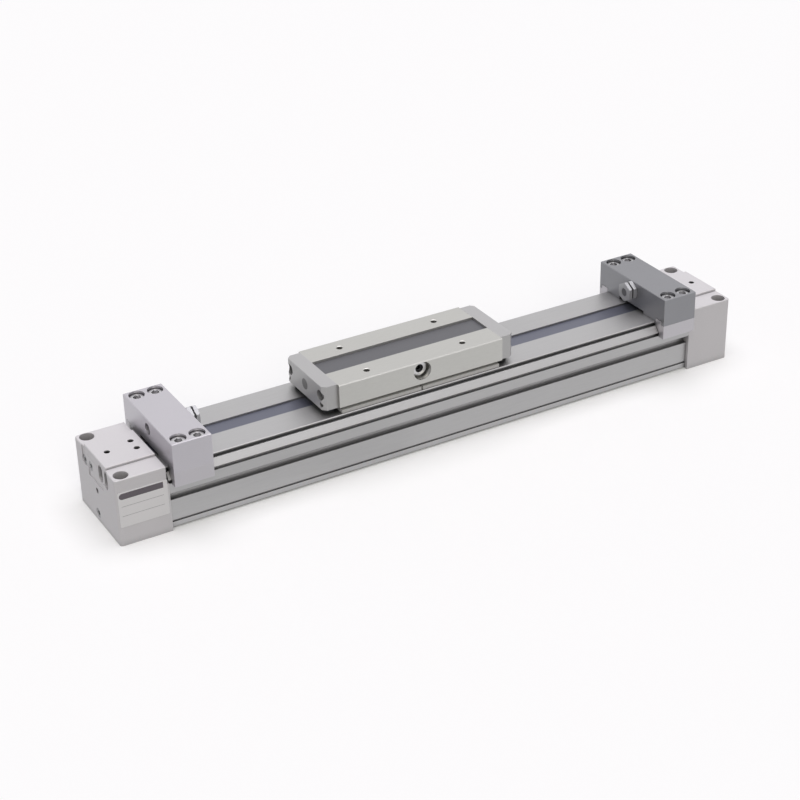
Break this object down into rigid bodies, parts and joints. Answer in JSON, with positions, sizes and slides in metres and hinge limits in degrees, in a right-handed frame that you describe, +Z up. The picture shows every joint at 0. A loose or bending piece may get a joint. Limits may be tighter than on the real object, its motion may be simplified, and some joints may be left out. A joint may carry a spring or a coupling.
{
  "type": "rodless pneumatic cylinder",
  "caption": "Slotted air cylinder whose piston drives a bearing-guided slide table along its top between two adjustable stop blocks.",
  "frame": {"origin": "centre of the base, midway between the outer faces of the end covers", "axes": "+X along the travel, away from the end with the label; +Y across, away from the label's side; +Z up, out of the table's top"},
  "size_m": [0.488, 0.0792, 0.0675],
  "materials": {
    "anodised_aluminium": "satin clear anodise",
    "dark_anodised_aluminium": "satin grey anodise",
    "machined_aluminium": "fine machined",
    "steel": "plated",
    "dark_steel": "black oxide",
    "band_steel": "rolled strip",
    "belt_plastic": "flexible strip",
    "cover_plastic": "moulded",
    "bearing_plastic": "moulded",
    "guide_plastic": "moulded",
    "rubber": "moulded",
    "magnet": "sintered",
    "label": "printed film, left blank"
  },
  "bodies": {
    "cylinder": {"cylinder_tube": "anodised_aluminium", "outer_dust_band": "band_steel", "inner_seal_belt": "belt_plastic", "band_magnet_strips": "magnet", "name_label": "label", "band_clamp_screws": "dark_steel", "end_cover_screws": "steel", "port_plugs": "steel", "end_cover_left": "anodised_aluminium", "end_cover_right": "anodised_aluminium", "band_clamp_left": "anodised_aluminium", "band_clamp_right": "anodised_aluminium", "tube_gasket_left": "rubber", "tube_gasket_right": "rubber", "cushion_boss_left": "machined_aluminium", "cushion_boss_right": "machined_aluminium", "adjuster_holder_left": "anodised_aluminium", "adjuster_holder_right": "dark_anodised_aluminium", "clamp_feet_left": "anodised_aluminium", "clamp_feet_right": "anodised_aluminium", "holder_screws_left": "steel", "holder_screws_right": "steel", "lock_nut_left": "steel", "lock_nut_right": "steel"},
    "carriage": {"slide_table": "anodised_aluminium", "window_cover": "cover_plastic", "end_plate_screws": "steel", "stop_buttons": "steel", "bearing_pads": "bearing_plastic", "side_adjusting_nuts": "steel", "side_adjusting_screws": "steel", "piston_yoke": "machined_aluminium", "yoke_screws": "steel", "piston_magnet": "magnet", "piston_screws": "steel", "end_plate_left": "anodised_aluminium", "end_plate_right": "anodised_aluminium", "scraper_left": "rubber", "scraper_right": "rubber", "band_guide_left": "guide_plastic", "band_guide_right": "guide_plastic", "piston_left": "machined_aluminium", "piston_right": "machined_aluminium", "piston_seal_left": "rubber", "piston_seal_right": "rubber", "wear_ring_left": "guide_plastic", "wear_ring_right": "guide_plastic", "cushion_seal_left": "rubber", "cushion_seal_right": "rubber"},
    "adjusting_bolt_left": {"stop_bolt_left": "steel", "stop_bumper_left": "rubber"},
    "needle_left": {"cushion_needle_left": "dark_steel", "needle_seal_left": "rubber"},
    "adjusting_bolt_right": {"stop_bolt_right": "steel", "stop_bumper_right": "rubber"},
    "needle_right": {"cushion_needle_right": "dark_steel", "needle_seal_right": "rubber"}
  },
  "joints": [
    {"name": "table_travel", "type": "slide", "parent": "cylinder", "child": "carriage", "axis": [1, 0, 0], "range_m": [-0.0746, 0.1085], "deforming": ["outer_dust_band", "inner_seal_belt"]},
    {"name": "stop_bolt_left_adjust", "type": "slide", "parent": "cylinder", "child": "adjusting_bolt_left", "axis": [1, 0, 0], "range_m": [0, 0.005]},
    {"name": "stop_bolt_right_adjust", "type": "slide", "parent": "cylinder", "child": "adjusting_bolt_right", "axis": [-1, 0, 0], "range_m": [0, 0.005]},
    {"name": "needle_left_turn", "type": "hinge", "parent": "cylinder", "child": "needle_left", "pos_m": [-0.2434, 0, 0.0245], "axis": [1, 0, 0], "range_deg": [0, 360]},
    {"name": "needle_right_turn", "type": "hinge", "parent": "cylinder", "child": "needle_right", "pos_m": [0.2434, 0, 0.0245], "axis": [1, 0, 0], "range_deg": [0, 360]}
  ]
}
